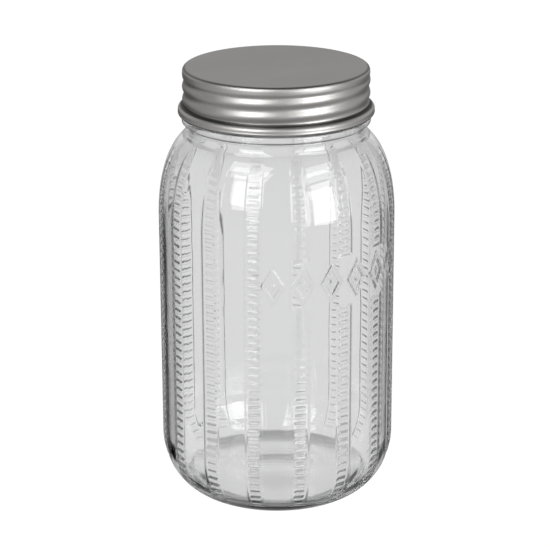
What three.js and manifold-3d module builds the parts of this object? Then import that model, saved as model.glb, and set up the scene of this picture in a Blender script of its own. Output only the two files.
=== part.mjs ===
// A tall clear glass storage jar with a pressed metal screw lid and a sealing liner inside the lid.
// Millimetres, +Z up, origin at the middle of the base, the row of raised lozenges faces -Y.
import * as THREE from "three";
import { mergeVertices } from "three/addons/utils/BufferGeometryUtils.js";
import Module from "manifold-3d";

const wasm = await Module();
wasm.setup();

const TURN = 2 * Math.PI;
const DEGREE = Math.PI / 180;

// Jar body
const panelRadius = 55; // smooth glass between the bands
const wallThickness = 3;
const contactInner = 29; // flat ring that the jar stands on
const contactOuter = 32.8;
const heelHeight = 28.5;
const shoulderStart = 135.1;
const shoulderReach = 22.8; // the shoulder's quarter curve would end this far inside the wall
const shoulderRise = 43.4;
const shoulderPower = 2.22;
const shoulderTurn = 62 * DEGREE; // how far round the curve the neck cuts it off
const mouthTurn = 66 * DEGREE; // the same inside the jar
const neckRadius = 41.7;
const neckHeight = 177.2;
const pushUp = 2.4; // how far the underside rises inside the contact ring
const floorTurn = 35 * DEGREE; // how far round the heel's quarter curve the floor inside meets it
const floorDome = 0.9; // how much higher the floor is in the middle

// Neck finish under the lid
const collarRadius = 43.6; // ring of glass just below the lid
const collarBottom = 180.3;
const collarTop = 183.6;
const finishRadius = 41.4;
const mouthRadius = 37.2;
const lipHeight = 203.3;
const lipRound = 1.2;

// Screw thread, one start, right hand
const threadPitch = 5.9;
const threadPhase = 199.0; // height of a thread crest on the side that faces -Y
const glassThreadRadius = 42.3;
const glassThreadHalf = 1.35; // half its height along the jar
const glassThreadTurns = 1.3;
const glassThreadStart = -400 * DEGREE; // just above the collar

// Sunk bands down the jar, and the row of raised lozenges
const bandCount = 16;
const bandDepth = 0.48;
const bandBedAngle = 3.3 * DEGREE; // half the width of a band's bed
const bandEdgeAngle = 4.75 * DEGREE; // where its sides meet the panels
const bandBottomRadius = 48; // on the heel, a band ends below this radius
const bandTopRadius = 47; // and on the shoulder above this one
const emblemBottom = 106.7;
const emblemTop = 129.1;
const emblemBands = 1; // bands each side of the middle one that stop for the lozenges
const lozengeCount = 6;
const lozengeStep = 14.3 * DEGREE;
const lozengeWidth = 11;
const lozengeHeight = 18;
const lozengeStroke = 2.2;
const lozengeRise = 0.6;
const lozengeMiddle = 118;

// Lid
const lidTop = 206;
const sheet = 0.45;
const lidRadius = 42.8; // middle of the wave that the thread makes in the skirt
const threadWave = 0.35;
const topRound = 1.3;
const waveTop = 203.8;
const flareTop = 190.1;
const flareRadius = 43.3;
const rimRadius = 45.3;
const rimTop = 187.2;
const rimBottom = 184.4;
const rimThickness = 1.5;
const rimGap = 0.3; // the curl tucks in this far under the flare
const lidRows = 14;

// Liner
const linerRadius = 41.2;
const linerBottom = 203.6;
const linerTop = 205.2;

const jarSegments = bandCount * 5;
const hollowSegments = 48;
const lidSegments = 56;

const glass = new THREE.MeshStandardMaterial({
  color: 0xe9eeec,
  roughness: 0.05,
  metalness: 0,
  transparent: true,
  opacity: 0.35,
});
const tinplate = new THREE.MeshStandardMaterial({ color: 0x9c9b98, roughness: 0.36, metalness: 0.95 });
const foam = new THREE.MeshStandardMaterial({ color: 0xeeeeea, roughness: 0.85, metalness: 0 });

const point = (r, z) => new THREE.Vector2(r, z);

// Points of a profile along a curve given by a function of 0 to 1, both ends included.
function along(steps, curve) {
  return Array.from({ length: steps + 1 }, (_, i) => curve(i / steps));
}

// Turns a profile of (radius, height) points, listed upwards on the outside, round the Z axis.
// The angle is counted from -Y, counter-clockwise seen from above.
function revolve(profile, segments) {
  return new THREE.LatheGeometry(profile, segments).rotateX(Math.PI / 2);
}

// Moves every vertex by a function of its radius, angle and height.
function reshape(geometry, move) {
  const position = geometry.getAttribute("position");
  for (let i = 0; i < position.count; i += 1) {
    const x = position.getX(i);
    const y = position.getY(i);
    const angle = Math.atan2(x, -y);
    const place = move(Math.hypot(x, y), angle, position.getZ(i));
    position.setXYZ(i, place.r * Math.sin(place.a), -place.r * Math.cos(place.a), place.z);
  }
  return geometry;
}

function toSolid(geometry) {
  const bare = geometry.index ? geometry.toNonIndexed() : geometry.clone();
  bare.deleteAttribute("normal");
  bare.deleteAttribute("uv");
  const merged = mergeVertices(bare, 1e-3);
  return new wasm.Manifold(
    new wasm.Mesh({
      numProp: 3,
      vertProperties: merged.attributes.position.array,
      triVerts: new Uint32Array(merged.index.array),
    }),
  );
}

function toGeometry(solid) {
  const mesh = solid.getMesh();
  const geometry = new THREE.BufferGeometry();
  geometry.setAttribute("position", new THREE.BufferAttribute(mesh.vertProperties, 3));
  geometry.setIndex(new THREE.BufferAttribute(mesh.triVerts, 1));
  geometry.computeVertexNormals();
  return geometry;
}

// Height of the thread's crest above the crest that faces -Y, at an angle counted from there.
const threadRise = (angle) => (threadPitch * angle) / TURN;

// From 1 on a crest of the lid's rolled thread to -1 in a groove.
const threadShape = (angle, z) => Math.cos((TURN * (z - threadPhase - threadRise(angle))) / threadPitch);

// Quarter of the shoulder's rounded square: turn 0 is on the wall, a right angle is on the axis side.
function shoulderPoint(radius, rise, turn) {
  const power = 2 / shoulderPower;
  const inwards = shoulderReach * (1 - Math.cos(turn) ** power);
  return point(radius - inwards, shoulderStart + rise * Math.sin(turn) ** power);
}

// Quarter of the heel: turn 0 is on the contact ring, a right angle is on the wall.
function heelPoint(turn) {
  const out = (panelRadius - contactOuter) * Math.sin(turn);
  return point(contactOuter + out, heelHeight * (1 - Math.cos(turn)));
}

// The inside of the heel, a wall's thickness in from the outside.
function heelInside(turn) {
  const slope = point(heelHeight * Math.sin(turn), (panelRadius - contactOuter) * -Math.cos(turn));
  return heelPoint(turn).addScaledVector(slope, -wallThickness / slope.length());
}

// Everything inside the jar's outer surface, bands and lozenges left out.
function outsideOfJar() {
  const underside = along(4, (t) => point(contactInner * t, (pushUp * (1 + Math.cos(Math.PI * t))) / 2));
  const heel = along(7, (t) => heelPoint((t * Math.PI) / 2));
  const wall = [emblemBottom, emblemBottom + 1, emblemTop - 1, emblemTop].map((z) => point(panelRadius, z));
  const shoulder = along(8, (t) => shoulderPoint(panelRadius, shoulderRise, t * shoulderTurn));
  const neck = [point(neckRadius, neckHeight), point(neckRadius + 0.4, collarBottom - 0.8)];
  const collar = [
    point(collarRadius - 0.4, collarBottom),
    point(collarRadius, collarBottom + 0.6),
    point(collarRadius, collarTop - 0.6),
    point(collarRadius - 0.6, collarTop),
    point(finishRadius, collarTop + 0.3),
  ];
  const lip = [point(finishRadius, lipHeight - lipRound), point(finishRadius - lipRound, lipHeight)];
  return [...underside, ...heel, ...wall, ...shoulder, ...neck, ...collar, ...lip, point(0, lipHeight)];
}

// The hollow inside the jar, carried on above the lip so that it cuts the mouth open.
function insideOfJar() {
  const innerRadius = panelRadius - wallThickness;
  const heel = along(5, (t) => heelInside(floorTurn + (Math.PI / 2 - floorTurn) * t));
  const edge = heel[0];
  const floor = [0, 0.35, 0.7].map((t) => point(edge.x * t, edge.y + floorDome * (1 - t * t)));
  const shoulder = along(6, (t) => shoulderPoint(innerRadius, shoulderRise - wallThickness, t * mouthTurn));
  const mouth = [
    point(mouthRadius, neckHeight),
    point(mouthRadius, lipHeight - 1),
    point(mouthRadius + 1, lipHeight),
    point(mouthRadius + 1, lipHeight + 1),
  ];
  return [...floor, ...heel, ...shoulder, ...mouth, point(0, lipHeight + 1)];
}

// True where a band stops to leave room for the row of lozenges.
function inEmblem(band, z) {
  const nearest = Math.min(band, bandCount - band);
  return nearest <= emblemBands && z > emblemBottom + 0.5 && z < emblemTop - 0.5;
}

// Sets the jar's meridians on the edges of the bands and sinks the beds of the bands.
function sinkBands(geometry) {
  const edges = [-bandEdgeAngle, -bandBedAngle, bandBedAngle, bandEdgeAngle, TURN / bandCount / 2];
  const isBed = (edge) => edge === 1 || edge === 2;
  return reshape(geometry, (r, a, z) => {
    const step = (Math.round((a / TURN) * jarSegments) + jarSegments) % jarSegments;
    const band = Math.floor(step / edges.length);
    const edge = step % edges.length;
    const least = z < shoulderStart ? bandBottomRadius : bandTopRadius;
    const sunk = isBed(edge) && r > least && z < collarBottom - 1 && !inEmblem(band, z);
    return { r: sunk ? r - bandDepth : r, a: (band * TURN) / bandCount + edges[edge], z };
  });
}

// A lozenge outline with a small solid lozenge in it, bent round the wall and sunk into the glass.
function lozenge(angle) {
  const diamond = (width, height) => [
    point(0, -height / 2),
    point(width / 2, 0),
    point(0, height / 2),
    point(-width / 2, 0),
  ];
  const ring = new THREE.Shape(diamond(lozengeWidth, lozengeHeight));
  const slant = Math.hypot(1, lozengeHeight / lozengeWidth);
  const hollowWidth = lozengeWidth - 2 * lozengeStroke * (slant / (lozengeHeight / lozengeWidth));
  ring.holes.push(new THREE.Path(diamond(hollowWidth, (hollowWidth * lozengeHeight) / lozengeWidth)));
  const seed = new THREE.Shape(diamond(lozengeWidth * 0.27, lozengeHeight * 0.27));
  const sunk = 1;
  const depth = sunk + lozengeRise;
  return [ring, seed].map((shape) => {
    const flat = new THREE.ExtrudeGeometry(shape, { depth, bevelEnabled: false });
    const place = flat.getAttribute("position");
    for (let i = 0; i < place.count; i += 1) {
      const a = angle + place.getX(i) / panelRadius;
      const r = panelRadius - sunk + place.getZ(i);
      place.setXYZ(i, r * Math.sin(a), -r * Math.cos(a), lozengeMiddle + place.getY(i));
    }
    return flat;
  });
}

// The ridge of glass that the lid's thread rides on, thinning to nothing at its ends.
function glassThread() {
  const sunk = 0.8;
  const rise = glassThreadRadius - finishRadius;
  const section = new THREE.Shape([
    point(-sunk, -glassThreadHalf),
    point(0, -glassThreadHalf),
    point(rise, -glassThreadHalf * 0.35),
    point(rise, glassThreadHalf * 0.35),
    point(0, glassThreadHalf),
    point(-sunk, glassThreadHalf),
  ]);
  const steps = Math.round(glassThreadTurns * 40);
  const length = glassThreadTurns * TURN;
  const ridge = new THREE.ExtrudeGeometry(section, { depth: length, steps, bevelEnabled: false });
  const place = ridge.getAttribute("position");
  for (let i = 0; i < place.count; i += 1) {
    const run = length - place.getZ(i);
    const thin = Math.min(1, run / 0.4, (length - run) / 0.4);
    const offset = place.getX(i) > 0 ? place.getX(i) * thin : place.getX(i);
    const r = finishRadius + offset;
    const a = glassThreadStart + run;
    place.setXYZ(i, r * Math.sin(a), -r * Math.cos(a), threadPhase + threadRise(a) + place.getY(i));
  }
  return ridge;
}

function jarBody() {
  let solid = toSolid(sinkBands(revolve(outsideOfJar(), jarSegments)));
  for (let i = 0; i < lozengeCount; i += 1) {
    const angle = (i - (lozengeCount - 1) / 2) * lozengeStep;
    for (const piece of lozenge(angle)) solid = solid.add(toSolid(piece));
  }
  solid = solid.add(toSolid(glassThread()));
  return toGeometry(solid.subtract(toSolid(revolve(insideOfJar(), hollowSegments))));
}

// Outer radius of the lid's skirt: the rolled thread, then the flare above the curled rim.
function skirtRadius(angle, z) {
  const fade = Math.min(1, Math.max(0, (waveTop - z) / 1));
  const wave = lidRadius + threadWave * (fade * threadShape(angle, z) + (1 - fade) * 0.6);
  const down = (flareTop - z) / (flareTop - rimTop);
  const flare = down < 0 ? 0 : flareRadius + (rimRadius - 0.5 - flareRadius) * Math.sqrt(Math.min(1, down));
  return Math.max(wave, flare);
}

// Quarter round of the lid's top edge, from the skirt inwards.
function topEdge(radius, top) {
  return along(3, (t) => {
    const turn = (t * Math.PI) / 2;
    return point(lidRadius - topRound + radius * Math.cos(turn), top - radius + radius * Math.sin(turn));
  });
}

// Outer half of the curled rim, upwards.
function rimCurl() {
  const middle = (rimTop - rimGap + rimBottom) / 2;
  const half = (rimTop - rimGap - rimBottom) / 2;
  return along(5, (t) => {
    const turn = (t - 0.5) * Math.PI;
    const out = (rimThickness / 2) * Math.cos(turn);
    return point(rimRadius - rimThickness / 2 + out, middle + half * Math.sin(turn));
  });
}

function lidShell() {
  const skirtTop = lidTop - topRound - 0.3;
  const skirt = along(lidRows, (t) => point(lidRadius, rimTop + (skirtTop - rimTop) * t));
  const lining = along(lidRows, (t) => point(lidRadius - sheet, skirtTop + (rimTop - skirtTop) * t));
  const curl = rimCurl();
  const hem = point(rimRadius - rimThickness, (rimTop + rimBottom) / 2);
  const outside = [...curl, ...skirt, ...topEdge(topRound, lidTop), point(0, lidTop)];
  const inside = [point(0, lidTop - sheet), ...topEdge(topRound - sheet, lidTop - sheet).reverse(), ...lining, hem];
  return reshape(revolve([...outside, ...inside, curl[0].clone()], lidSegments), (r, a, z) => {
    if (z > skirtTop + 0.01 || z < rimTop - 0.01) return { r, a, z };
    const isLining = r < lidRadius - sheet / 2;
    return { r: skirtRadius(a, z) - (isLining ? sheet : 0), a, z };
  });
}

function sealingLiner() {
  const round = 0.3;
  return revolve(
    [
      point(0, linerBottom),
      point(linerRadius - round, linerBottom),
      point(linerRadius, linerBottom + round),
      point(linerRadius, linerTop - round),
      point(linerRadius - round, linerTop),
      point(0, linerTop),
    ],
    lidSegments,
  );
}

function named(name, geometry, material) {
  const mesh = new THREE.Mesh(geometry, material);
  mesh.name = name;
  return mesh;
}

const group = new THREE.Group();
group.add(named("jar_body", jarBody(), glass));
group.add(named("lid_shell", lidShell(), tinplate));
group.add(named("sealing_liner", sealingLiner(), foam));

export default group;
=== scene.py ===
"""A clear glass storage jar with sunk ladder bands, a row of embossed lozenges and a metal screw lid.

Metres, +Z up, the jar stands on z = 0 and the lozenges face -Y.
"""
import math

import bpy
import numpy as np
from mathutils import Matrix, Vector


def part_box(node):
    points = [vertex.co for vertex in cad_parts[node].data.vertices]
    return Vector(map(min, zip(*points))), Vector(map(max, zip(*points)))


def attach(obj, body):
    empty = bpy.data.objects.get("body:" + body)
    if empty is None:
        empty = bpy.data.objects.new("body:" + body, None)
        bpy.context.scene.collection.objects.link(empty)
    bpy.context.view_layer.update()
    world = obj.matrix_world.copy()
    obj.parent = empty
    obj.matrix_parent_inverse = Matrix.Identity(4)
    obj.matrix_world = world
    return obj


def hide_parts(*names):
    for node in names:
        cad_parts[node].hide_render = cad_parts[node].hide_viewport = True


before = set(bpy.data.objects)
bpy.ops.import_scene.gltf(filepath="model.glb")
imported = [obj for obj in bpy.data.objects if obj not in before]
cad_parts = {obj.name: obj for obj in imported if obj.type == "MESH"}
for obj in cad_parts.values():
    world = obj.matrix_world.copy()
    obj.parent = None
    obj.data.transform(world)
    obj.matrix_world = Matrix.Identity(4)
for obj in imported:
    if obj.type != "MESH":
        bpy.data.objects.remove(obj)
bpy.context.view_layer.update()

MM = 0.001
TURN = 2 * math.pi

_, JAR_HIGH = (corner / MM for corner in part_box("jar_body"))
LID_LOW, LID_HIGH = (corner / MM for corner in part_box("lid_shell"))
LINER_LOW, LINER_HIGH = (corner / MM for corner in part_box("sealing_liner"))

# Jar, in millimetres, as in the CAD part
PANEL_RADIUS = 55.0
WALL = 3.0
CONTACT_INNER = 29.0
CONTACT_OUTER = 32.8
HEEL_HEIGHT = 28.5
SHOULDER_START = 135.1
SHOULDER_REACH = 22.8
SHOULDER_RISE = 43.4
SHOULDER_POWER = 2.22
SHOULDER_TURN = math.radians(62)
MOUTH_TURN = math.radians(66)
THROAT_BEND = 1.5
NECK_RADIUS = 41.7
NECK_HEIGHT = 177.2
NECK_BEND = 1.0
PUSH_UP = 2.4
FLOOR_TURN = math.radians(35)
FLOOR_BEND = 1.2
FLOOR_DOME = 0.9
COLLAR_RADIUS = 43.6
COLLAR_BOTTOM = 180.3
COLLAR_TILT = 0.1
COLLAR_ROUND = 0.9
COLLAR_EDGE = 1.0
COLLAR_TOP = 183.6
FINISH_RADIUS = 41.4
FINISH_FOOT = 1.2
MOUTH_RADIUS = 37.2
LIP_HEIGHT = JAR_HIGH.z
LIP_ROUND = 1.2

# Sunk bands down the jar, each with a ladder of rungs across it
BAND_COUNT = 16
BAND_EDGE = math.radians(4.75)
BAND_BED = math.radians(3.3)
BAND_DEPTH = 0.48
RUNG_RISE = 0.43
RUNG_PITCH = 3.9
RUNG_HALF = 1.2
RUNG_END = math.radians(2.8)
RUNG_FADE = math.radians(0.8)
BAND_BOTTOM_RADIUS = 45.5
BAND_BOTTOM_FADE = 6.0
BAND_TOP_RADIUS = 43.0
BAND_TOP_FADE = 12.0
# Where the band at -Y, and EMBLEM_BANDS more on each side of it, stop for the lozenges
EMBLEM_BANDS = 1
EMBLEM_BOTTOM = 106.7
EMBLEM_TOP = 129.1
EMBLEM_FADE = 1.5

# Lozenges: an outline, and a small solid one (the seed) inside it, as a share of the outline's size
LOZENGE_COUNT = 6
LOZENGE_STEP = math.radians(14.3)
LOZENGE_WIDTH = 11.0
LOZENGE_HEIGHT = 18.0
LOZENGE_STROKE = 2.2
LOZENGE_TIP = 1.6
LOZENGE_RISE = 0.6
LOZENGE_MIDDLE = 118.0
LOZENGE_FLANK = 1.0
LOZENGE_FOOT = 0.25
SEED_SHARE = 0.3
SEED_FOOT = 0.35

# Thread: the same helix for the glass and the lid
THREAD_PITCH = 5.9
THREAD_PHASE = 199.0
GLASS_THREAD_RISE = 0.9
GLASS_THREAD_HALF = 1.35
GLASS_THREAD_FLANK = 0.9
GLASS_THREAD_TURNS = 1.3
GLASS_THREAD_START = math.radians(-400)
GLASS_THREAD_FADE = 0.35

# Lid
LID_TOP = LID_HIGH.z
SHEET = 0.32
LID_RADIUS = 42.8
THREAD_WAVE = 0.35
TOP_RADIUS = 43.0
TOP_ROUND = 1.9
WAVE_TOP = 203.4
WAVE_FADE = 3.0
GROOVE_TOP = 189.7
GROOVE_RADIUS = 42.65
FLARE_TOP = 188.7
FLARE_RADIUS = 41.5
FLARE_OVERLAP = 0.35
FLARE_DROP = 2.0
RIM_RADIUS = 45.3
RIM_INSET = 0.1
RIM_TOP = 186.6
RIM_BOTTOM = LID_LOW.z
CURL_RADIUS = 0.75
CURL_START = 0.15 * math.pi
CURL_END = -1.35 * math.pi
# Height, half width and strength of the painted shade lines round the lid: dark lines painted into the
# metal's colour for the shade in the crease over the curled rim and along the top edge
PAINTED_SHADE_LINES = ((188.75, 0.9, 0.88), (205.6, 0.45, 0.6))

# Liner, with the ring that the lip has pressed into it
LINER_ROUND = 0.4
LINER_LOW_ROUND = 0.5
PRESS_RADIUS = 39.3
PRESS_HALF = 1.2
PRESS_DEPTH = 0.25

# Fineness of the meshes: steps, and rows at set radii or heights
PROFILE_STEP = 0.25
HEEL_STEPS = 60
SHOULDER_STEPS = 90
ROW_GAP = 0.3
RUNG_ROW = 0.6
LOZENGE_ROW = 0.7
LOZENGE_COLUMN = math.radians(0.72)
PANEL_COLUMNS = 5
THREAD_ROW = 0.6
THREAD_ROW_START = 1.7
NORMAL_ASIDE = 0.0015
NORMAL_ALONG = 0.25
DOME_ROWS = (3, 7, 11, 15, 19, 23, 26)
MOUTH_ROWS = (195, 188, 181, 177)
INNER_SHOULDER_STEPS = 14
INNER_HEEL_POINTS = 12
INNER_WALL_TOP = 128
INNER_WALL_ROW = 9
FLOOR_ROWS = (37, 34, 30, 25, 17, 9, 3)
LID_COLUMNS = 288
TOP_ROWS = (4, 12, 20, 28, 34, 38, 40.5)
TOP_EDGE_POINTS = 8
SKIRT_GAP = 0.3
SKIRT_ROW = 0.27
RIM_POINTS = 6
CURL_POINTS = 21
LINER_COLUMNS = 144
LINER_LOW_ROWS = (4, 14, 24, 30)
PRESS_START = 34
PRESS_POINTS = 18
LINER_TOP_ROWS = (38, 28, 18, 8, 3)

# Colours and optics
GLASS_COLOUR = (0.97, 0.97, 0.972, 1)
GLASS_TINT = (0.80, 0.81, 0.80, 1)
GLASS_DENSITY = 20.0
GLASS_IOR = 1.51
TIN_DARK = (0.485, 0.477, 0.463, 1)
TIN_LIGHT = (0.560, 0.552, 0.538, 1)
# Near-black used for the painted shade lines round the lid
TIN_PAINTED_SHADE = (0.02, 0.02, 0.02, 1)
TIN_EDGE_TINT = (0.5, 0.5, 0.5, 1)
FOAM_DARK = (0.80, 0.80, 0.77, 1)
FOAM_LIGHT = (0.88, 0.88, 0.86, 1)
FLOOR_COLOUR = (0.05, 0.05, 0.05, 1)
WHITE = (1, 1, 1, 1)

# Camera, fitted to the photograph's perspective
CAMERA_AZIMUTH = math.radians(-33.75)
CAMERA_DISTANCE = 0.967
CAMERA_HEIGHT = 0.4374
CAMERA_PITCH = math.radians(18.977)
CAMERA_PAN = math.radians(0.05)
CAMERA_ROLL = math.radians(-0.2)
LENS = 141.93
SENSOR = 36

# Studio: stops of (degrees, brightness), by angle from straight behind the jar and by elevation.
# What is seen through the glass:
THROUGH_SIDES = ((0, 1.0), (75, 1.0), (100, 0.85), (180, 0.85))
THROUGH_HEIGHTS = (
    (-90, 0.50), (-75, 0.28), (-62, 0.22), (-52, 0.34), (-40, 0.50), (-28, 0.775),
    (-11, 0.785), (-2, 0.62), (25, 0.58), (50, 0.45), (90, 0.35),
)
# What is reflected, and the share of the light from behind in it:
BEHIND = ((0, 1.0), (45, 1.0), (80, 0.0))
BEHIND_HEIGHTS = (
    (-90, 0.2), (-30, 0.3), (-5, 0.35), (5, 1.0), (25, 1.0), (40, 0.5), (60, 0.1), (90, 0.06),
)
FRONT_HEIGHTS = (
    (-90, 0.3), (-45, 0.28), (-28, 0.47), (-11, 0.47), (-2, 0.34), (25, 0.26), (40, 0.16), (60, 0.05),
)
# How much of either the dark flags take away; angles to the left of straight behind are negative:
FLAGS = (
    (-66, 0.0), (-58, 1.0), (-28, 1.0), (-24, 0.0), (24, 0.0), (28, 0.9), (46, 0.9), (56, 0.0),
)
FLAG_HEIGHTS = ((-60, 0.3), (-45, 1.0), (-14, 1.0), (-8, 0.4), (15, 0.4), (30, 0.0))
# Area lights: name, degrees to the camera's right, elevation, width, height, radiance
SOFTBOXES = (
    ("window_left_low", -31, 23, 0.56, 0.60, 4.6),
    ("window_left_high", -36, 51, 0.70, 0.34, 3.6),
    ("window_right_strip", 28, 13, 0.16, 0.66, 2.4),
    ("window_right_low", 49, 11, 0.52, 0.62, 5.2),
    ("window_right_high", 52, 43, 0.62, 0.26, 3.8),
)
LIGHT_DISTANCE = 1.1
LIGHT_AIM = 0.12
STAGE_RADIUS = 6.0
STAGE_DROP = 0.0002
STAGE_SIDES = 64


# ---------------------------------------------------------------- mesh helpers

def smooth(x):
    t = np.clip(x, 0.0, 1.0)
    return t * t * (3 - 2 * t)


def wrapped(x, period):
    """x brought to within half a period of zero."""
    return (x + period / 2) % period - period / 2


def polyline(points, spacing):
    """Resamples a list of (r, z) points along its length, corners kept."""
    out = [points[0]]
    for (r, z), end in zip(points, points[1:]):
        steps = max(1, math.ceil(math.dist((r, z), end) / spacing))
        for k in range(1, steps + 1):
            out.append((r + (end[0] - r) * k / steps, z + (end[1] - z) * k / steps))
    return np.array(out)


def round_corner(corner, start, end, steps=5):
    """A quadratic curve from start to end that bends round corner."""
    out = []
    for k in range(steps + 1):
        t = k / steps
        a, b, c = (1 - t) ** 2, 2 * t * (1 - t), t * t
        out.append((a * start[0] + b * corner[0] + c * end[0], a * start[1] + b * corner[1] + c * end[1]))
    return out


def normals_of(profile):
    """Unit normals of a profile that runs upwards on the outside, pointing out of the solid."""
    step = np.gradient(profile, axis=0)
    length = np.hypot(step[:, 0], step[:, 1]) + 1e-12
    return np.stack([step[:, 1] / length, -step[:, 0] / length], 1)


def lengths_of(profile):
    return np.concatenate([[0.0], np.cumsum(np.hypot(*np.diff(profile, axis=0).T))])


def lathe(profile, angle):
    """Grids of radius and height of a profile turned round the axis (rows by angles)."""
    return tuple(profile[:, k][:, None] + 0 * angle for k in (0, 1))


def places(radius, height, angle):
    """Points in metres, from grids of radius and height in millimetres."""
    return np.stack([radius * np.sin(angle), -radius * np.cos(angle), height + 0 * angle], 2) * MM


def surface(name, radius, height, angle, material, normals=None):
    """A closed mesh from grids of radius and height, with a point on the axis at each end.

    normals is (first row, grid of unit normals) for rows whose exact normals are known.
    """
    rows, columns = radius.shape
    verts = places(radius, height, angle).reshape(-1, 3)
    index = np.arange(rows * columns).reshape(rows, columns)
    right = np.roll(index, -1, axis=1)
    quads = np.stack([index[:-1], right[:-1], right[1:], index[1:]], 2).reshape(-1, 4)
    faces = [tuple(q) for q in quads.tolist()]
    start, end = len(verts), len(verts) + 1
    verts = np.vstack([verts, [[0, 0, height[0].mean() * MM], [0, 0, height[-1].mean() * MM]]])
    faces += [(start, b, a) for a, b in zip(index[0].tolist(), right[0].tolist())]
    faces += [(end, a, b) for a, b in zip(index[-1].tolist(), right[-1].tolist())]
    mesh = bpy.data.meshes.new(name)
    mesh.from_pydata(verts.tolist(), [], faces)
    mesh.validate()
    mesh.polygons.foreach_set("use_smooth", [True] * len(mesh.polygons))
    if normals:
        shown = np.zeros((len(mesh.vertices), 3))
        mesh.vertex_normals.foreach_get("vector", shown.ravel())
        first, exact = normals
        shown[first * columns:(first + len(exact)) * columns] = exact.reshape(-1, 3)
        mesh.normals_split_custom_set_from_vertices(shown.tolist())
    mesh.materials.append(material)
    obj = bpy.data.objects.new(name, mesh)
    bpy.context.scene.collection.objects.link(obj)
    return obj


# ---------------------------------------------------------------- jar

def heel_outside(turn):
    across = PANEL_RADIUS - CONTACT_OUTER
    return CONTACT_OUTER + across * math.sin(turn), HEEL_HEIGHT * (1 - math.cos(turn))


def heel_inside(turn):
    """The inside of the heel, a wall's thickness in from the outside."""
    across, rise = PANEL_RADIUS - CONTACT_OUTER, HEEL_HEIGHT
    r, z = heel_outside(turn)
    slope = math.hypot(rise * math.sin(turn), across * math.cos(turn))
    return r - WALL * rise * math.sin(turn) / slope, z + WALL * across * math.cos(turn) / slope


def shoulder_point(radius, rise, turn):
    power = 2 / SHOULDER_POWER
    inwards = SHOULDER_REACH * (1 - math.cos(turn) ** power)
    return radius - inwards, SHOULDER_START + rise * math.sin(turn) ** power


def wall_profile():
    """The outside from the contact ring to the top of the shoulder, sampled closely."""
    heel = [heel_outside(k / HEEL_STEPS * math.pi / 2) for k in range(HEEL_STEPS + 1)]
    turns = [SHOULDER_TURN * k / SHOULDER_STEPS for k in range(SHOULDER_STEPS + 1)]
    shoulder = [shoulder_point(PANEL_RADIUS, SHOULDER_RISE, turn) for turn in turns]
    return polyline(heel + shoulder, PROFILE_STEP)


def wall_rows(profile, lengths):
    """Distances of the mesh's rows along the profile: on and between the rungs, closer at the lozenges."""
    total = lengths[-1]
    rows = [0.0, total]
    for middle in np.arange(0, total + RUNG_PITCH, RUNG_PITCH):
        rows.append(middle - RUNG_PITCH / 2)
        rows += [middle + k * RUNG_HALF * RUNG_ROW for k in (-1, 0, 1)]
    heights = np.arange(EMBLEM_BOTTOM - LOZENGE_ROW, EMBLEM_TOP + 1.5 * LOZENGE_ROW, LOZENGE_ROW)
    emblem = [np.interp(z, profile[:, 1], lengths) for z in heights]
    rows = [r for r in rows if not emblem[0] < r < emblem[-1]] + emblem
    kept = []
    for r in sorted(r for r in rows if 0 <= r <= total):
        if not kept or r - kept[-1] > ROW_GAP:
            kept.append(r)
    kept[-1] = total
    return np.array(kept)


def band_relief(angle, s, radius, z):
    """Depth of the bands below the panels, as negative numbers, with the rungs standing up in them."""
    step = TURN / BAND_COUNT
    band = np.round(angle / step)
    off = np.abs(angle - band * step)
    across = smooth((BAND_EDGE - off) / (BAND_EDGE - BAND_BED))
    from_rung = np.abs(wrapped(s, RUNG_PITCH))
    rung = RUNG_RISE * smooth(1 - from_rung / RUNG_HALF) * smooth((RUNG_END - off) / RUNG_FADE)
    depth = BAND_DEPTH * across - rung
    low = np.where(z < SHOULDER_START, smooth((radius - BAND_BOTTOM_RADIUS) / BAND_BOTTOM_FADE), 1.0)
    high = np.where(z > SHOULDER_START, smooth((radius - BAND_TOP_RADIUS) / BAND_TOP_FADE), 1.0)
    nearest = np.minimum(band % BAND_COUNT, BAND_COUNT - band % BAND_COUNT)
    outside = smooth((EMBLEM_BOTTOM - z) / EMBLEM_FADE) + smooth((z - EMBLEM_TOP) / EMBLEM_FADE)
    gap = np.where(nearest <= EMBLEM_BANDS, outside, 1.0)
    return -depth * low * high * gap


def lozenge_relief(angle, z):
    """Height of the row of lozenges: an outline with a small solid lozenge inside it."""
    place = wrapped(angle, TURN) / LOZENGE_STEP + (LOZENGE_COUNT - 1) / 2
    index = np.clip(np.round(place), 0, LOZENGE_COUNT - 1)
    u = np.abs((place - index) * LOZENGE_STEP * PANEL_RADIUS)
    v = np.abs(z - LOZENGE_MIDDLE)
    half_width = (LOZENGE_WIDTH - LOZENGE_STROKE) / 2
    half_height = (LOZENGE_HEIGHT - LOZENGE_STROKE * LOZENGE_TIP) / 2
    slope = math.hypot(1 / half_width, 1 / half_height)
    size = u / half_width + v / half_height
    from_outline = np.abs(size - 1) / slope
    from_seed = (size - SEED_SHARE) / slope
    outline = smooth((LOZENGE_STROKE / 2 + LOZENGE_FOOT - from_outline) / LOZENGE_FLANK)
    seed = smooth((SEED_FOOT - from_seed) / LOZENGE_FLANK)
    return LOZENGE_RISE * np.maximum(outline, seed)


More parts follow.
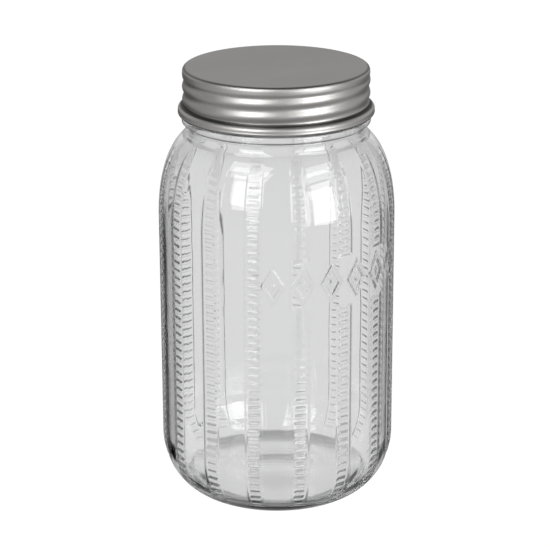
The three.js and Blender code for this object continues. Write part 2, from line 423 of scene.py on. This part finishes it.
def jar_angles():
    """Angles of the mesh's meridians: close together on the band edges and where the lozenges are."""
    step = TURN / BAND_COUNT
    edges = [BAND_BED + (BAND_EDGE - BAND_BED) * k / 2 for k in (0, 1, 2)] + [RUNG_END - RUNG_FADE]
    marks = set()
    for band in range(BAND_COUNT):
        middle = band * step
        marks.add(middle)
        marks.update(middle + side * edge for edge in edges for side in (-1, 1))
        marks.update(np.linspace(middle + BAND_EDGE, middle + step - BAND_EDGE, PANEL_COLUMNS)[1:-1])
    reach = LOZENGE_STEP * LOZENGE_COUNT / 2
    near = {a for a in marks if abs(wrapped(a, TURN)) < reach}
    slack = 0.001
    edges_near = {a for a in near if BAND_BED - slack < abs(wrapped(a, step)) < BAND_EDGE + slack}
    marks = sorted({a % TURN for a in (marks - near) | edges_near})
    for a in np.arange(-reach, reach, LOZENGE_COLUMN) % TURN:
        if min(abs(a - m) for m in marks) > LOZENGE_COLUMN / 2:
            marks.append(a)
    return np.array(sorted(marks))


def finish_profile():
    """The outside above the shoulder: neck, collar, threaded finish and the outer half of the lip."""
    top = shoulder_point(PANEL_RADIUS, SHOULDER_RISE, SHOULDER_TURN)
    neck_end = (NECK_RADIUS, NECK_HEIGHT + NECK_BEND)
    neck = round_corner((NECK_RADIUS, NECK_HEIGHT - NECK_BEND), top, neck_end, 6)[1:]

    low = COLLAR_BOTTOM + COLLAR_TILT
    under_end = (COLLAR_RADIUS - COLLAR_ROUND, low)
    under = round_corner((NECK_RADIUS, COLLAR_BOTTOM), neck_end, under_end, 4)[1:]
    side = round_corner((COLLAR_RADIUS, low), under_end, (COLLAR_RADIUS, low + COLLAR_EDGE), 4)[1:]
    side_end = (COLLAR_RADIUS, COLLAR_TOP - COLLAR_EDGE)
    collar_end = (COLLAR_RADIUS - COLLAR_ROUND, COLLAR_TOP)
    collar = round_corner((COLLAR_RADIUS, COLLAR_TOP), side_end, collar_end, 4)

    foot_end = (FINISH_RADIUS, COLLAR_TOP + FINISH_FOOT)
    foot = round_corner((FINISH_RADIUS, COLLAR_TOP), collar_end, foot_end, 4)[1:]
    lip_start = (FINISH_RADIUS, LIP_HEIGHT - LIP_ROUND)
    heights = np.arange(COLLAR_TOP + THREAD_ROW_START, lip_start[1], THREAD_ROW)
    thread = [(FINISH_RADIUS, z) for z in heights]
    lip = round_corner((FINISH_RADIUS, LIP_HEIGHT), lip_start, (FINISH_RADIUS - LIP_ROUND, LIP_HEIGHT), 5)
    return np.array(neck + under + side + collar + foot + thread + lip)


def thread_relief(angle, z):
    """Height of the screw thread on the finish, which thins out at both ends."""
    height = np.zeros(z.shape)
    length = GLASS_THREAD_TURNS * TURN
    first = math.floor(GLASS_THREAD_START / TURN)
    last = math.floor((GLASS_THREAD_START + length) / TURN)
    for lap in range(first, last + 1):
        turned = angle + lap * TURN
        run = turned - GLASS_THREAD_START
        ends = smooth(run / GLASS_THREAD_FADE) * smooth((length - run) / GLASS_THREAD_FADE)
        off = np.abs(z - THREAD_PHASE - THREAD_PITCH * turned / TURN)
        height = np.maximum(height, ends * smooth((GLASS_THREAD_HALF - off) / GLASS_THREAD_FLANK))
    on_finish = (z > COLLAR_TOP + FINISH_FOOT) & (z < LIP_HEIGHT - LIP_ROUND)
    return GLASS_THREAD_RISE * height * on_finish


def inside_profile():
    """The inside from the lip down the mouth, shoulder and wall to the floor."""
    inner, rise = PANEL_RADIUS - WALL, SHOULDER_RISE - WALL
    lip_end = (MOUTH_RADIUS, LIP_HEIGHT - LIP_ROUND)
    lip = round_corner((MOUTH_RADIUS, LIP_HEIGHT), (MOUTH_RADIUS + LIP_ROUND, LIP_HEIGHT), lip_end)
    mouth = [(MOUTH_RADIUS, z) for z in MOUTH_ROWS]
    mouth_end = shoulder_point(inner, rise, MOUTH_TURN)
    throat = round_corner((MOUTH_RADIUS, mouth_end[1] + THROAT_BEND), mouth[-1], mouth_end, 5)[1:]
    shares = [1 - k / INNER_SHOULDER_STEPS for k in range(1, INNER_SHOULDER_STEPS + 1)]
    shoulder = [shoulder_point(inner, rise, MOUTH_TURN * share) for share in shares]
    wall = [(inner, z) for z in np.arange(INNER_WALL_TOP, HEEL_HEIGHT, -INNER_WALL_ROW)]

    bend_turn = FLOOR_TURN + FLOOR_BEND / PANEL_RADIUS * 2
    heel = [heel_inside(turn) for turn in np.linspace(math.pi / 2, bend_turn, INNER_HEEL_POINTS)]
    edge_r, edge_z = heel_inside(FLOOR_TURN)
    floor_radius = edge_r - FLOOR_BEND
    bend = round_corner((edge_r, edge_z), heel[-1], (floor_radius, edge_z), 5)[1:]
    floor = [(r, edge_z + FLOOR_DOME * (1 - (r / floor_radius) ** 2)) for r in FLOOR_ROWS]
    return np.array(lip + mouth + throat + shoulder + wall + heel + bend + floor)


def underside_profile():
    """The raised underside out to the contact ring."""
    dome = [(r, PUSH_UP * (1 + math.cos(math.pi * r / CONTACT_INNER)) / 2) for r in DOME_ROWS]
    ring = (CONTACT_INNER + CONTACT_OUTER) / 2
    return np.array(dome + [(CONTACT_INNER, 0.0), (ring, 0.0)])


class Wall:
    """The outside of the jar from its contact ring to the top of the shoulder, with its relief."""

    def __init__(self):
        self.profile = wall_profile()
        self.lengths = lengths_of(self.profile)
        self.normals = normals_of(self.profile)
        self.rows = wall_rows(self.profile, self.lengths)[:, None]

    def grid(self, angle, s):
        radius, height = (np.interp(s, self.lengths, self.profile[:, k]) for k in (0, 1))
        out_r, out_z = (np.interp(s, self.lengths, self.normals[:, k]) for k in (0, 1))
        relief = band_relief(angle, s, radius, height) + lozenge_relief(angle, height)
        return radius + relief * out_r, height + relief * out_z

    def exact_normals(self, angle):
        """Unit normals at each mesh point, from the relief a short way to its sides, above and below."""
        ways = (-1, 1)
        sides = [angle + way * NORMAL_ASIDE for way in ways]
        across = [places(*self.grid(side, self.rows), side) for side in sides]
        upwards = [places(*self.grid(angle, self.rows + way * NORMAL_ALONG), angle) for way in ways]
        normal = np.cross(across[1] - across[0], upwards[1] - upwards[0])
        return normal / np.linalg.norm(normal, axis=2, keepdims=True)


def build_jar(material):
    angle = jar_angles()[None, :]
    under = lathe(underside_profile(), angle)
    wall = Wall()
    finish_radius, finish_height = lathe(finish_profile(), angle)
    finish = (finish_radius + thread_relief(angle, finish_height), finish_height)
    parts = (under, wall.grid(angle, wall.rows), finish, lathe(inside_profile(), angle))
    radius, height = (np.vstack([part[k] for part in parts]) for k in (0, 1))
    normals = (len(under[0]), wall.exact_normals(angle))
    return surface("jar_glass", radius, height, angle, material, normals)


# ---------------------------------------------------------------- lid and liner

def skirt_radius(angle, z):
    """Outer radius of the skirt: the rolled thread, the groove under it, then the flare to the rim."""
    fade = smooth((WAVE_TOP - z) / WAVE_FADE)
    wave = THREAD_WAVE * np.cos(TURN * (z - THREAD_PHASE) / THREAD_PITCH - angle)
    rolled = fade * (LID_RADIUS + wave) + (1 - fade) * TOP_RADIUS
    tuck = smooth((GROOVE_TOP - z) / (GROOVE_TOP - FLARE_TOP))
    rolled = rolled * (1 - tuck) + GROOVE_RADIUS * tuck
    down = np.clip((FLARE_TOP - z) / (FLARE_TOP - RIM_TOP), 0, 1)
    flare = FLARE_RADIUS + (RIM_RADIUS - RIM_INSET - FLARE_RADIUS) * np.sqrt(down * (2 - down))
    above = smooth((z - FLARE_TOP) / FLARE_OVERLAP)
    flare = np.where(z < FLARE_TOP + FLARE_OVERLAP, flare - above * FLARE_DROP, 0)
    return np.maximum(rolled, flare)


def lid_outline():
    """Middle line of the sheet as (r, z): the top with its rounded edge, the skirt's rows, and the curl.

    The skirt's radius is a stand-in, because it changes with the angle.
    """
    half = SHEET / 2
    top = [(r, LID_TOP - half) for r in TOP_ROWS]
    bend = TOP_ROUND - half
    edge = [
        (TOP_RADIUS - TOP_ROUND + bend * math.sin(t), LID_TOP - TOP_ROUND + bend * math.cos(t))
        for t in np.linspace(0, math.pi / 2, TOP_EDGE_POINTS)
    ]
    middle_r = RIM_RADIUS - half - CURL_RADIUS
    middle_z = RIM_BOTTOM + half + CURL_RADIUS
    curl = [
        (middle_r + CURL_RADIUS * math.cos(t), middle_z + CURL_RADIUS * math.sin(t))
        for t in np.linspace(CURL_START, CURL_END, CURL_POINTS)
    ]
    rolled = np.arange(edge[-1][1] - SKIRT_GAP, RIM_TOP, -SKIRT_ROW)
    plain = np.linspace(RIM_TOP, curl[0][1] + SKIRT_GAP, RIM_POINTS)
    skirt = [(LID_RADIUS, z) for z in (*rolled, *plain)]
    return top + edge, skirt, curl


def build_lid(material):
    angle = np.linspace(0, TURN, LID_COLUMNS, endpoint=False)[None, :]
    flat, skirt, curl = lid_outline()
    radius, height = lathe(np.array(flat + skirt + curl), angle)
    rows = slice(len(flat), len(flat) + len(skirt))
    radius[rows] = skirt_radius(angle, height[rows]) - SHEET / 2
    step_r = np.gradient(radius, axis=0)
    step_z = np.gradient(height, axis=0)
    length = np.hypot(step_r, step_z)
    out_r = -step_z / length * SHEET / 2
    out_z = step_r / length * SHEET / 2
    radii = np.vstack([radius - out_r, (radius + out_r)[::-1]])
    heights = np.vstack([height - out_z, (height + out_z)[::-1]])
    return surface("lid_metal", radii, heights, angle, material)


def build_liner(material):
    """A foam disc with the ring that the lip of the jar presses into it."""
    angle = np.linspace(0, TURN, LINER_COLUMNS, endpoint=False)[None, :]
    low, high, edge = LINER_LOW.z, LINER_HIGH.z, LINER_HIGH.x
    pressed = [
        (r, low + PRESS_DEPTH * math.exp(-(((r - PRESS_RADIUS) / PRESS_HALF) ** 2)))
        for r in np.linspace(PRESS_START, edge - LINER_ROUND, PRESS_POINTS)
    ]
    under = [(r, low) for r in LINER_LOW_ROWS] + pressed
    side_low = round_corner((edge, low), pressed[-1], (edge, low + LINER_LOW_ROUND), 4)
    side_high = round_corner((edge, high), (edge, high - LINER_ROUND), (edge - LINER_ROUND, high), 4)
    top = [(r, high) for r in LINER_TOP_ROWS]
    radius, height = lathe(np.array(under + side_low + side_high + top), angle)
    return surface("liner_disc", radius, height, angle, material)


# ---------------------------------------------------------------- materials

class Nodes:
    """The node tree of a new material or world, with short calls to add and link nodes."""

    def __init__(self, owner):
        owner.use_nodes = True
        self.owner = owner
        self.tree = owner.node_tree
        self.tree.nodes.clear()

    def put(self, socket, value):
        """Links a socket to another node's output, or sets it to a plain value."""
        if isinstance(value, bpy.types.NodeSocket):
            self.tree.links.new(value, socket)
        else:
            socket.default_value = value

    def add(self, kind, **inputs):
        node = self.tree.nodes.new("ShaderNode" + kind)
        for key, value in inputs.items():
            self.put(node.inputs[key.replace("_", " ")], value)
        return node

    def maths(self, operation, *values):
        node = self.add("Math")
        node.operation = operation
        for socket, value in zip(node.inputs, values):
            self.put(socket, value)
        return node.outputs[0]

    def position(self):
        return self.add("TexCoord").outputs["Object"]

    def noise(self, scale, detail=3.0, stretch=(1, 1, 1)):
        mapping = self.add("Mapping", Vector=self.position(), Scale=stretch)
        return self.add("TexNoise", Vector=mapping.outputs[0], Scale=scale, Detail=detail).outputs["Fac"]

    def ramp(self, value, low, high, start=0.3, end=0.7):
        """low where value is at start or less, high where it is at end or more."""
        node = self.add("MapRange", Value=value, From_Min=start, From_Max=end, To_Min=low, To_Max=high)
        return node.outputs[0]

    def mix(self, share, first, second):
        return self.add("MixRGB", Fac=share, Color1=first, Color2=second).outputs[0]

    def with_painted_shade(self, colour, height, middle, half, strength):
        """colour, darkened by strength in a soft line at one height: painted shade."""
        off = self.maths("ABSOLUTE", self.maths("SUBTRACT", height, middle))
        return self.mix(self.ramp(off, strength, 0.0, half * 0.4, half), colour, TIN_PAINTED_SHADE)

    def output(self, **shaders):
        self.add("OutputMaterial", **shaders)
        return self.owner


def glass_material():
    """Clear glass with slight ripples and a faint tint that deepens with its thickness."""
    m = Nodes(bpy.data.materials.new("clear_glass"))
    ripples = m.noise(55.0, 2.0, (1, 1, 0.45))
    bump = m.add("Bump", Height=ripples, Strength=0.15, Distance=0.0004)
    shader = m.add(
        "BsdfPrincipled",
        Base_Color=GLASS_COLOUR,
        Roughness=m.ramp(m.noise(140.0, 4.0), 0.0, 0.03),
        IOR=GLASS_IOR,
        Transmission_Weight=1.0,
        Normal=bump.outputs[0],
    )
    tint = m.add("VolumeAbsorption", Color=GLASS_TINT, Density=GLASS_DENSITY)
    return m.output(Surface=shader.outputs[0], Volume=tint.outputs[0])


def metal_material():
    """Satin tinplate, with painted shade: darker lines painted where the skirt meets the curled rim and on
    the pressed edge of the top.
    """
    m = Nodes(bpy.data.materials.new("satin_tinplate"))
    grain = m.noise(900.0, 4.0)
    cloud = m.noise(26.0, 4.0, (0.6, 1.4, 1.0))
    bump = m.add("Bump", Height=grain, Strength=0.12, Distance=0.0001)
    colour = m.mix(m.ramp(cloud, 0.0, 1.0), TIN_DARK, TIN_LIGHT)
    height = m.add("SeparateXYZ", Vector=m.position()).outputs["Z"]
    # Painted shade: the lid's colour is darkened in soft lines at set heights, standing in for shade in
    # the crease and along the top edge
    for middle, half, strength in PAINTED_SHADE_LINES:
        colour = m.with_painted_shade(colour, height, middle * MM, half * MM, strength)
    shader = m.add(
        "BsdfPrincipled",
        Base_Color=colour,
        Metallic=1.0,
        Roughness=m.ramp(cloud, 0.40, 0.47),
        Specular_Tint=TIN_EDGE_TINT,
        Normal=bump.outputs[0],
    )
    return m.output(Surface=shader.outputs[0])


def foam_material():
    """Matt closed-cell foam."""
    m = Nodes(bpy.data.materials.new("liner_foam"))
    cells = m.add("TexVoronoi", Vector=m.position(), Scale=1400.0)
    bump = m.add("Bump", Height=cells.outputs["Distance"], Strength=0.25, Distance=0.0002)
    shader = m.add(
        "BsdfPrincipled",
        Base_Color=m.mix(m.ramp(m.noise(60.0), 0.0, 1.0), FOAM_DARK, FOAM_LIGHT),
        Roughness=m.ramp(m.noise(200.0), 0.75, 0.9),
        Normal=bump.outputs[0],
    )
    return m.output(Surface=shader.outputs[0])


def floor_material():
    """A floor that glows evenly white, so that it has no edge and takes almost no shadow."""
    m = Nodes(bpy.data.materials.new("floor_white"))
    shader = m.add(
        "BsdfPrincipled",
        Base_Color=FLOOR_COLOUR,
        Roughness=0.9,
        Specular_IOR_Level=0.0,
        Emission_Color=WHITE,
        Emission_Strength=1.0,
    )
    return m.output(Surface=shader.outputs[0])


# ---------------------------------------------------------------- studio

def build_floor(material):
    """A large disc just under the jar, hidden from reflections and from rays through the glass."""
    turns = [TURN * k / STAGE_SIDES for k in range(STAGE_SIDES)]
    verts = [(STAGE_RADIUS * math.cos(t), STAGE_RADIUS * math.sin(t), -STAGE_DROP) for t in turns]
    mesh = bpy.data.meshes.new("floor")
    mesh.from_pydata(verts, [], [tuple(range(STAGE_SIDES))])
    mesh.materials.append(material)
    floor = bpy.data.objects.new("floor", mesh)
    bpy.context.scene.collection.objects.link(floor)
    floor.visible_glossy = False
    floor.visible_transmission = False
    return floor


def softbox(name, azimuth, elevation, width, height, radiance):
    """A rectangular area light aimed at the jar, azimuth degrees to the camera's right."""
    turn = CAMERA_AZIMUTH + math.radians(azimuth)
    rise = math.radians(elevation)
    away = Vector((math.sin(turn) * math.cos(rise), -math.cos(turn) * math.cos(rise), math.sin(rise)))
    light = bpy.data.lights.new(name, "AREA")
    light.shape = "RECTANGLE"
    light.size = width
    light.size_y = height
    light.energy = radiance * math.pi * width * height
    lamp = bpy.data.objects.new(name, light)
    lamp.location = Vector((0, 0, LIGHT_AIM)) + away * LIGHT_DISTANCE
    lamp.rotation_euler = away.to_track_quat("Z", "Y").to_euler()
    bpy.context.scene.collection.objects.link(lamp)


def graph(n, source, stops):
    """A curve through stops of (degrees, value), of an angle in radians."""
    spread = n.add("MapRange", Value=source, From_Min=-math.pi, From_Max=math.pi)
    ramp = n.add("ValToRGB", Fac=spread.outputs[0])
    elements = ramp.color_ramp.elements
    elements.remove(elements[1])
    for k, (degrees, value) in enumerate(stops):
        place = (degrees + 180) / 360
        stop = elements[0] if k == 0 else elements.new(place)
        stop.position = place
        stop.color = (value, value, value, 1)
    return ramp.outputs[0]


def blend(n, share, first, second):
    """share of the first and the rest of the second."""
    rest = n.maths("MULTIPLY", n.maths("SUBTRACT", 1.0, share), second)
    return n.maths("ADD", n.maths("MULTIPLY", share, first), rest)


def build_world():
    """The studio: one light to be seen through the glass, one to be reflected, and dark flags in both."""
    world = bpy.data.worlds.new("studio")
    n = Nodes(world)
    towards = n.add("TexCoord").outputs["Generated"]
    turned = n.add("VectorRotate", Vector=towards, Angle=-CAMERA_AZIMUTH)
    turned.rotation_type = "Z_AXIS"
    split = n.add("SeparateXYZ", Vector=turned.outputs[0])
    sideways = n.maths("ARCTAN2", split.outputs["X"], split.outputs["Y"])
    aside = n.maths("ABSOLUTE", sideways)
    elevation = n.maths("ARCSINE", split.outputs["Z"])

    flags = n.maths("MULTIPLY", graph(n, sideways, FLAGS), graph(n, elevation, FLAG_HEIGHTS))
    unflagged = n.maths("SUBTRACT", 1.0, flags)
    through = n.maths("MULTIPLY", graph(n, aside, THROUGH_SIDES), graph(n, elevation, THROUGH_HEIGHTS))
    behind, front = (graph(n, elevation, heights) for heights in (BEHIND_HEIGHTS, FRONT_HEIGHTS))
    reflected = blend(n, graph(n, aside, BEHIND), behind, front)
    is_through = n.add("LightPath").outputs["Is Transmission Ray"]
    light = n.maths("MULTIPLY", unflagged, blend(n, is_through, through, reflected))
    back = n.add("Background", Color=light)
    n.add("OutputWorld", Surface=back.outputs[0])
    bpy.context.scene.world = world


def build_camera():
    camera = bpy.data.objects.new("camera", bpy.data.cameras.new("camera"))
    camera.data.lens = LENS
    camera.data.sensor_width = SENSOR
    camera.location = (
        CAMERA_DISTANCE * math.sin(CAMERA_AZIMUTH),
        -CAMERA_DISTANCE * math.cos(CAMERA_AZIMUTH),
        CAMERA_HEIGHT,
    )
    turn = Matrix.Rotation(CAMERA_AZIMUTH + CAMERA_PAN, 4, "Z")
    tilt = Matrix.Rotation(math.pi / 2 - CAMERA_PITCH, 4, "X")
    camera.rotation_euler = (turn @ tilt @ Matrix.Rotation(CAMERA_ROLL, 4, "Z")).to_euler()
    bpy.context.scene.collection.objects.link(camera)
    bpy.context.scene.camera = camera


build_camera()
build_world()
for settings in SOFTBOXES:
    softbox(*settings)
build_floor(floor_material())

scene = bpy.context.scene
scene.view_settings.view_transform = "Standard"
scene.cycles.max_bounces = 32
scene.cycles.transmission_bounces = 28
scene.cycles.glossy_bounces = 20

glass = build_jar(glass_material())
lid = build_lid(metal_material())
liner = build_liner(foam_material())
for piece, node, body, slot in (
    (glass, "jar_body", "jar", "clear_glass"),
    (lid, "lid_shell", "lid", "tinplate"),
    (liner, "sealing_liner", "liner", "liner_foam"),
):
    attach(piece, body)
    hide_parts(node)
